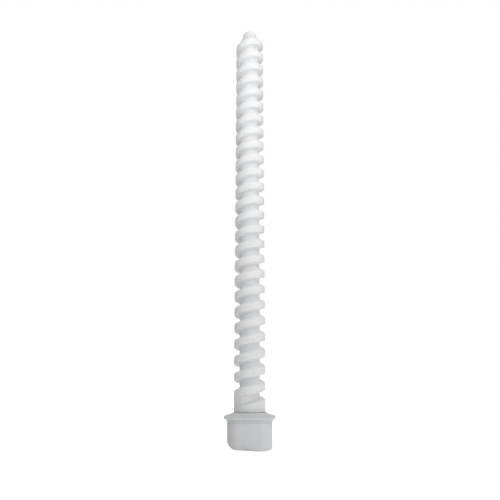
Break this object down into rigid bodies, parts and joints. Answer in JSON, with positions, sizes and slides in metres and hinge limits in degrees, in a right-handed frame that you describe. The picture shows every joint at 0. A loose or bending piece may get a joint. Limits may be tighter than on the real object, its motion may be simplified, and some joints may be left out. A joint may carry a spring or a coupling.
{
  "type": "drill paint mixer",
  "caption": "Slender white plastic spiral stirrer that spins in a rounded-square hub with a flared rim, driven by a hexagon bit from below.",
  "frame": {"origin": "centre of the hub's underside, where the axis of the spiral meets the plane it stands on", "axes": "+Z along the spiral's axis from the hub to the nose, -Y to the front, +X to the right, towards the side where the bottom edge is only lightly rounded"},
  "size_m": [0.0322, 0.0322, 0.2955],
  "materials": {
    "white_plastic": "milky white moulded plastic, satin",
    "spiral_plastic": "milky white moulded plastic, satin",
    "black_rubber": "nitrile rubber",
    "brass": "turned and knurled",
    "zinc_steel": "zinc plated",
    "felt": "pressed grey felt",
    "bronze": "sintered bronze",
    "spring_steel": "bright drawn",
    "acetal": "natural acetal",
    "steel": "turned steel",
    "nickel": "nickel plated magnet",
    "black_steel": "blackened spring steel"
  },
  "bodies": {
    "hub": {"hub_shell": "white_plastic", "splash_rim": "white_plastic", "cover_gasket": "black_rubber", "cover_inserts": "brass", "cover_screws": "zinc_steel", "dust_ring": "felt", "lower_bush": "bronze", "upper_bush": "bronze", "lip_seal": "black_rubber", "seal_spring": "spring_steel", "thrust_washer": "acetal"},
    "rotor": {"drive_sleeve": "steel", "bit_clip": "spring_steel", "bit_magnet": "nickel", "core_rod": "steel", "drive_pin": "steel", "retaining_ring": "black_steel", "retaining_washer": "spring_steel", "mixing_spiral": "spiral_plastic", "nose_ring": "black_rubber", "nose_plug": "spiral_plastic"}
  },
  "joints": [
    {"name": "spiral_spin", "type": "hinge", "parent": "hub", "child": "rotor", "pos_m": [0, 0, 0], "axis": [0, 0, 1], "continuous": true}
  ]
}
